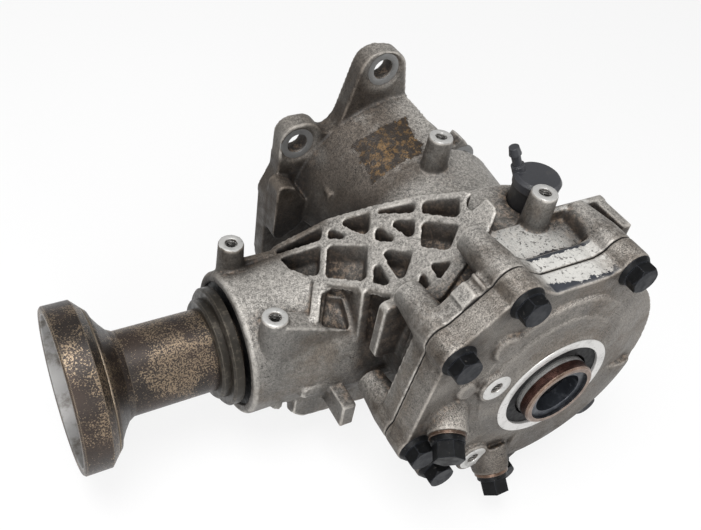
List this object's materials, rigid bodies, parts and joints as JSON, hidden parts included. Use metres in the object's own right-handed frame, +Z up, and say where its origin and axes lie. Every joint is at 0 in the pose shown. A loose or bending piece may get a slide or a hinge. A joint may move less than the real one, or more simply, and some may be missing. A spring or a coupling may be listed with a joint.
{
  "type": "transfer case",
  "caption": "Right-angle transfer case: ribbed cast case with a bolted domed cover, a hollow input shaft through it and a ring gear and pinion that turn a cup-shaped output flange.",
  "frame": {"origin": "on the input shaft's axis, at the centre of the pilot recess, in the face that bolts to the transaxle", "axes": "+Y along the input shaft, towards the transaxle; -X along the output, towards the cup; +Z up, as the case sits in the vehicle"},
  "size_m": [0.3199, 0.2233, 0.2002],
  "materials": {
    "black_plastic": "moulded",
    "black_rubber": "matt",
    "blackened_ring": "pressed and painted black",
    "blackened_steel": "black oxide",
    "bright_steel": "ground",
    "browned_steel": "turned, browned by rust",
    "cast_case": "cast, weathered and oil-stained",
    "cast_cover": "cast, weathered",
    "copper": "soft, worn",
    "dark_brown_steel": "rust-browned",
    "gear_steel": "cut and hardened",
    "shaft_steel": "turned, heat-tinted"
  },
  "bodies": {
    "case": {"main_case": "cast_case", "side_cover": "cast_cover", "cover_bolts": "blackened_steel", "dowel_pins": "bright_steel", "fill_plug": "blackened_steel", "fill_plug_washer": "copper", "drain_plug": "blackened_steel", "drain_plug_washer": "copper", "breather_body": "black_plastic", "breather_cap": "black_plastic", "cover_oil_seal": "black_rubber", "input_oil_seal": "black_rubber", "pinion_oil_seal": "black_rubber", "input_front_cup": "bright_steel", "input_rear_cup": "bright_steel", "pinion_head_cup": "bright_steel", "pinion_tail_cup": "bright_steel"},
    "input": {"input_shaft": "shaft_steel", "shaft_inner_seal": "dark_brown_steel", "ring_gear": "gear_steel", "ring_gear_bolts": "blackened_steel", "input_front_cone": "bright_steel", "input_front_rollers": "bright_steel", "input_rear_cone": "bright_steel", "input_rear_rollers": "bright_steel"},
    "output": {"drive_pinion": "gear_steel", "pinion_shim": "bright_steel", "crush_sleeve": "bright_steel", "output_cup": "browned_steel", "small_slinger": "blackened_ring", "large_slinger": "blackened_ring", "pinion_nut": "bright_steel", "pinion_head_cone": "bright_steel", "pinion_head_rollers": "bright_steel", "pinion_tail_cone": "bright_steel", "pinion_tail_rollers": "bright_steel"}
  },
  "joints": [
    {"name": "input_spin", "type": "hinge", "parent": "case", "child": "input", "pos_m": [0, 0, 0], "axis": [0, 1, 0], "continuous": true},
    {"name": "output_spin", "type": "hinge", "parent": "case", "child": "output", "pos_m": [0, -0.088, -0.027], "axis": [1, 0, 0], "continuous": true}
  ],
  "couplings": [
    {"joint": "output_spin", "follows": "input_spin", "ratio": -2.6667}
  ]
}
